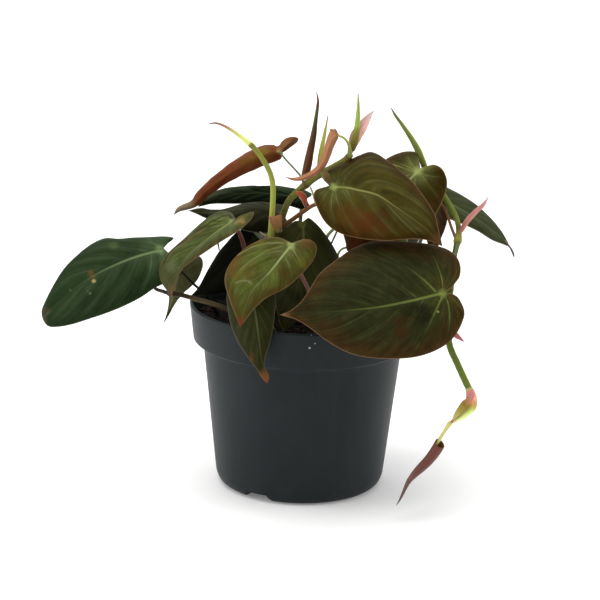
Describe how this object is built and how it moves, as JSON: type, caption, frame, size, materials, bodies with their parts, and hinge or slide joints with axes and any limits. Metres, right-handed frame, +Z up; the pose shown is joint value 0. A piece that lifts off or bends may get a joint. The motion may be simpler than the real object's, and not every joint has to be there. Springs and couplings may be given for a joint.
{
  "type": "potted philodendron",
  "caption": "Velvet-leaf heartleaf philodendron with trailing vines, growing in a round tapered nursery pot.",
  "frame": {"origin": "centre of the pot's underside, on the surface the pot stands on", "axes": "+Z up; -Y is the side the display face of the plant looks to; +X to the right of that view"},
  "size_m": [0.2455, 0.1637, 0.2176],
  "materials": {
    "pot": "fine satin moulded polypropylene, dark anthracite",
    "soil": "crumbly dark peat potting soil",
    "leaf_green": "velvety dark green leaf, paler midrib",
    "leaf_olive": "velvety olive leaf with red-brown margin",
    "leaf_dark": "velvety very dark olive leaf",
    "leaf_red": "satin red-brown leaf underside",
    "young_leaf_pink": "satin pinkish young leaf",
    "young_leaf_maroon": "satin maroon young leaf",
    "shoot_green": "smooth yellow-green stem",
    "shoot_brown": "smooth grey-brown stem",
    "sheath_pink": "thin pink bud sheath",
    "sheath_olive": "thin yellow-green bud sheath",
    "root": "thin aerial root"
  },
  "bodies": {
    "root": {"leaf_a": "leaf_green", "leaf_c": "leaf_green", "leaf_i": "leaf_green", "leaf_l": "leaf_green", "leaf_rear_1": "leaf_green", "leaf_rear_5": "leaf_green", "leaf_b": "leaf_olive", "leaf_d": "leaf_olive", "leaf_g": "leaf_olive", "leaf_h": "leaf_olive", "leaf_rear_3": "leaf_olive", "leaf_e": "leaf_dark", "leaf_f": "leaf_dark", "leaf_m": "leaf_dark", "leaf_n": "leaf_dark", "leaf_o": "leaf_dark", "leaf_rear_2": "leaf_dark", "leaf_rear_4": "leaf_dark", "leaf_j": "leaf_red", "leaf_k": "leaf_red", "young_leaf_pink": "young_leaf_pink", "young_leaf_hanging": "young_leaf_maroon", "rolled_leaf_brown": "young_leaf_maroon", "vine_main": "shoot_green", "vine_upright": "shoot_green", "vine_right": "shoot_green", "vine_back": "shoot_green", "spike_1": "shoot_green", "spike_2": "shoot_green", "spike_3": "shoot_green", "vine_left": "shoot_brown", "sheath_crown": "sheath_pink", "sheath_right": "sheath_pink", "sheath_fork": "sheath_pink", "sheath_low": "sheath_pink", "sheath_red": "sheath_pink", "sheath_brown": "sheath_olive", "sheath_hanging": "sheath_olive", "root_main": "root", "root_fork": "root", "root_left": "root", "root_gap": "root", "pot": "pot", "soil": "soil"}
  },
  "joints": []
}
